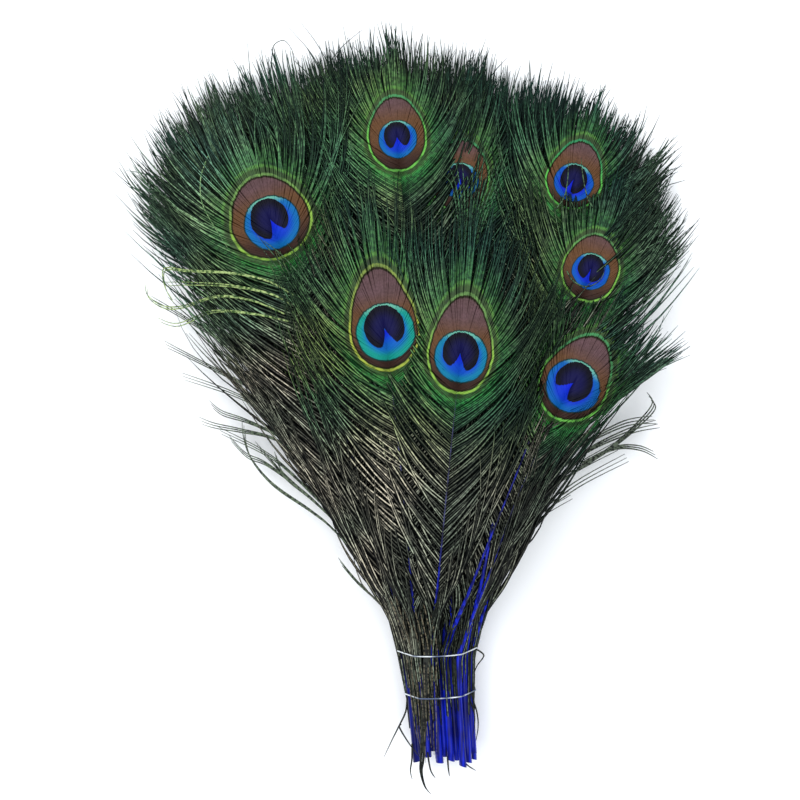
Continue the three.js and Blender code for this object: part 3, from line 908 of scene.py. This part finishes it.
EYE_HAIRS = (
    ((-50, 143, 34), (-58, 151, 33.5), (-65, 159, 32), (-71.4, 166.6, 30)),
    ((-46, 140, 34), (-53, 149, 34), (-61, 158, 32.5), (-68.5, 164, 30.5)),
    ((-48, 136, 33.5), (-55, 144, 33.5), (-62, 152, 32.5), (-70, 162, 30.5)),
    ((-44, 133, 34), (-52, 143, 34), (-58.5, 152, 33), (-64, 161, 31)),
    ((50.5, 152, 32), (53, 148, 32.5), (58.5, 145.8, 32.5), (64, 149, 32), (66, 155, 31)),
    ((46, 176, 30.5), (49.5, 181, 31), (51, 188, 30.5), (51.5, 196, 29)),
    ((61, 177, 30), (58.5, 182, 30.5), (57, 190, 30), (56.5, 197, 28.5)),
)
BASE_BITS = (
    ((13, 4, 20), (15, 2, 20), (17, 1, 20), (18.6, -1, 20), (16, -5, 19), (14.6, -9, 18)),
    ((12.6, -12, 19), (13.8, -17, 19), (16, -24, 18), (16.5, -30, 17), (15.6, -36, 16)),
    ((12, -14, 22), (13, -18, 21), (15, -25, 20), (14.4, -33, 19)),
    ((-12, -17, 22), (-12.6, -23, 21), (-15.3, -29, 20), (-18, -35, 17), (-21.3, -43, 12)),
    ((-14.6, -28, 21), (-15, -29.5, 21), (-11.3, -35, 24), (-7, -40, 26)),
    ((-10, -36, 20), (-10.1, -42, 20), (-10.7, -47, 19), (-10, -51, 17)),
    ((-4, -38, 26), (-2.8, -45, 26), (-0.9, -48.5, 25)),
    ((9, -38, 24), (11.3, -43, 24), (15.3, -46.5, 21)),
    ((4, -40, 25), (4.3, -44.6, 25), (4.8, -48, 24)),
    ((14, 33, 36), (6.5, 29.5, 37), (2.7, 25, 36)),
)
TAIL_SHIFTS = (-0.75, -0.25, 0.3, 0.8)


def eye_cover_route(n):
    """One of the barbs that fan out over the eye that is mostly hidden."""
    end_y = 190 if n < 6 else 193
    return (
        (9 + 0.45 * n, 160, 29),
        (7.6 + 1.0 * n, 175, 30),
        (5.5 + 1.6 * n, 186, 29),
        (2.5 + 2.3 * n, end_y + 2.6 * (n % 4), 28),
    )


def cover_route(n):
    """One of the dark barbs that lie over the quills on the left, from the fan to the cut ends."""
    up = min(n, 3)
    return (
        (-24 + 2.6 * n, 36 + 5 * (n % 2), 36),
        (-17 + 2 * n, 19, 33.5),
        (-12.6 + 1.75 * n, 4, 24.2 + 1.4 * up),
        (-11.8 + 1.6 * n, -6, 23.8 + 1.35 * up),
        (-10.6 + 1.4 * n, -16, 23.6 + 1.2 * up),
        (-9.2 + 1.25 * n, -27 - 2 * (n % 3), 24.2 + up),
        (-8 + 1.1 * n, -33 - 3 * (n % 4), 24.4 + 0.9 * up),
    )


def tail_route(shift):
    """One of the barbs that make up the tail past the cut ends."""
    return (
        (-3.4 + shift, 9, 26),
        (-4.6 + shift, 0, 27.9),
        (-5 + shift, -14, 27),
        (-5.5 + shift, -28, 27),
        (-6.1 + shift, -40, 26.6),
        (-6.5 + shift * 0.6, -46, 25),
        (-5 + shift * 0.3, -52.5, 22),
        (-2.5, -56.5, 19),
    )


def smooth_route(points, closed=False):
    """Points along a Catmull-Rom curve through the given ones."""
    count = len(points)
    route = []
    for n in range(count if closed else count - 1):
        picks = [n - 1, n, n + 1, n + 2]
        picks = [i % count if closed else min(max(i, 0), count - 1) for i in picks]
        before, start, end, after = (Vector(points[i]) for i in picks)
        for step in range(STRAND_STEPS):
            t = step / STRAND_STEPS
            bend = (start - end) * 3 + after - before
            onward = (end - before) + ((before * 2 - start * 5 + end * 4 - after) + bend * t) * t
            route.append(start + onward * t / 2)
    if not closed:
        route.append(Vector(points[-1]))
    return route


def add_tube(vertices, faces, route, radii, closed=False):
    """Adds a tube along a route, with a radius for each of its points."""
    first = len(vertices)
    for n, centre in enumerate(route):
        ahead = route[(n + 1) % len(route)] if closed else route[min(n + 1, len(route) - 1)]
        behind = route[n - 1] if closed else route[max(n - 1, 0)]
        along = (ahead - behind).normalized()
        side = along.cross(Vector((0.02, 0.05, 1))).normalized()
        for corner in range(STRAND_SIDES):
            angle = math.tau * corner / STRAND_SIDES
            out = side * math.cos(angle) + side.cross(along) * math.sin(angle)
            vertices.append(centre + out * radii[n])
    for n in range(len(route) if closed else len(route) - 1):
        for corner in range(STRAND_SIDES):
            here = first + n * STRAND_SIDES
            there = first + (n + 1) % len(route) * STRAND_SIDES
            beside = (corner + 1) % STRAND_SIDES
            faces.append((here + corner, here + beside, there + beside, there + corner))
    if not closed:
        last = first + (len(route) - 1) * STRAND_SIDES
        faces.append([first + corner for corner in reversed(range(STRAND_SIDES))])
        faces.append([last + corner for corner in range(STRAND_SIDES)])


def tubes_piece(name, tubes, material):
    """A piece made of (route, radii, closed) tubes in metres from the tie."""
    vertices = []
    faces = []
    for route, radii, closed in tubes:
        add_tube(vertices, faces, [point + Vector((TIE_X, TIE_Y, 0)) for point in route], radii, closed)
    mesh = bpy.data.meshes.new(name)
    mesh.from_pydata(vertices, [], faces)
    mesh.shade_smooth()
    mesh.materials.append(material)
    piece = place(mesh, name)
    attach(piece, "root")
    return piece


def loose_material(name, edge, rib):
    material, tree, shader = new_material(name)
    # The light colour shows only as painted glints, in dots along the barb.
    feed(shader.inputs["Base Color"], mixed(tree, glint_beads(tree, 900, 0.38, 0.62), colour(edge), colour(rib)))
    feed(shader.inputs["Roughness"], 0.55)
    feed(shader.inputs["Specular IOR Level"], 0.25)
    return material


def strands(routes, radius, together):
    """Tubes along the routes. The ones that lie together on a route part towards its end."""
    tubes = []
    for points in routes:
        for n in range(together):
            parted = PARTING * (n - (together - 1) / 2) + STACKING * n
            share = 1 / (len(points) - 1)
            route = smooth_route([(Vector(at) + parted * (k * share)) * MM for k, at in enumerate(points)])
            last = len(route) - 1
            radii = [radius * (1 - 0.7 * (k / last) ** 2) for k in range(last + 1)]
            tubes.append((route, radii, False))
    return tubes


# Piece, routes, radius, how many lie together, and the barbs' material with its dark colour and
# the light colour of its painted glints.
LOOSE_PIECES = (
    ("tip_hairs", TIP_HAIRS, 0.22 * MM, 1, "hair_teal", "141f1a", "2c4038"),
    ("bent_loops", LEFT_LOOPS, 0.34 * MM, 2, "loop_green", "2c4c1c", "a0b474"),
    ("left_strands", LEFT_STRANDS, 0.34 * MM, 3, "left_grey", "17211b", "66745e"),
    ("right_strands", RIGHT_STRANDS, 0.42 * MM, 3, "right_grey", "0e1610", "5e6858"),
    ("green_strands", GREEN_STRANDS, 0.26 * MM, 1, "pale_green", "3a6434", "84a070"),
    ("eye_hairs", EYE_HAIRS, 0.3 * MM, 1, "hair_green", "0a140e", "4a6a48"),
    ("eye_cover", [eye_cover_route(n) for n in range(13)], 0.3 * MM, 1, "cover_green", "0a1a12", "42704a"),
    ("base_bits", BASE_BITS, 0.4 * MM, 1, "base_barb", "070908", "1c2018"),
    ("cover_barbs", [cover_route(n) for n in range(8)], 0.3 * MM, 1, "cover_barb", "0c0e0e", "6c6450"),
    ("tail_barbs", [tail_route(s) for s in TAIL_SHIFTS], 0.36 * MM, 1, "tail_barb", "060808", "2a2e28"),
)
for name, routes, radius, together, finish, dark, light in LOOSE_PIECES:
    piece = tubes_piece(name, strands(routes, radius, together), loose_material(finish, dark, light))

# ---------------------------------------------------------------------------------------------
# Bands: two thin elastic threads, pulled tight round the outer quills.
# ---------------------------------------------------------------------------------------------
BANDS = {"upper_band": (0, 0.3 * MM), "lower_band": (LOWER_BAND_Y, -0.6 * MM)}
BAND_STEPS = 40
BAND_FROM_QUILL = 2.25 * MM
BAND_HALF_WIDTH = 16 * MM
SIDE_RISE = 1.3 * MM
BAND_TILT = 0.04
THREAD_RADIUS = 0.27 * MM


def thread_round_quills(y, shift):
    """A closed route round the quills at y. It lies a little askew, and curves up to both sides."""
    scale = 1 + y * NARROWING_TO_BAND
    quills = []
    for feather in feathers:
        x = feather["slot_x"] * scale - y * BUNDLE_LEAN
        quills.append(Vector((x, y, BUNDLE_AXIS_Z + feather["slot_z"] * scale)))
    hull = []
    for step in range(BAND_STEPS):
        angle = math.tau * (step + 0.5) / BAND_STEPS
        out = Vector((math.cos(angle), 0, math.sin(angle)))
        hull.append(max(quills, key=lambda quill: quill.dot(out)) + out * BAND_FROM_QUILL)
    route = smooth_route(hull, closed=True)
    for point in route:
        point.y += shift + SIDE_RISE * (point.x / BAND_HALF_WIDTH) ** 2 + BAND_TILT * point.x
    return route


def thread_material():
    material, tree, shader = new_material("elastic_thread")
    position = add(tree, "ShaderNodeTexCoord").outputs["Object"]
    pale = noise_at(tree, position, 130, 4.0).rise(0.4, 0.58)
    feed(shader.inputs["Base Color"], mixed(tree, pale, colour("4c5a78"), colour("e4eaee")))
    feed(shader.inputs["Roughness"], 0.3)
    return material


thread = thread_material()
for name, (y, shift) in BANDS.items():
    route = thread_round_quills(y, shift)
    piece = tubes_piece(f"thread_{name}", [(route, [THREAD_RADIUS] * len(route), True)], thread)
    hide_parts(name)
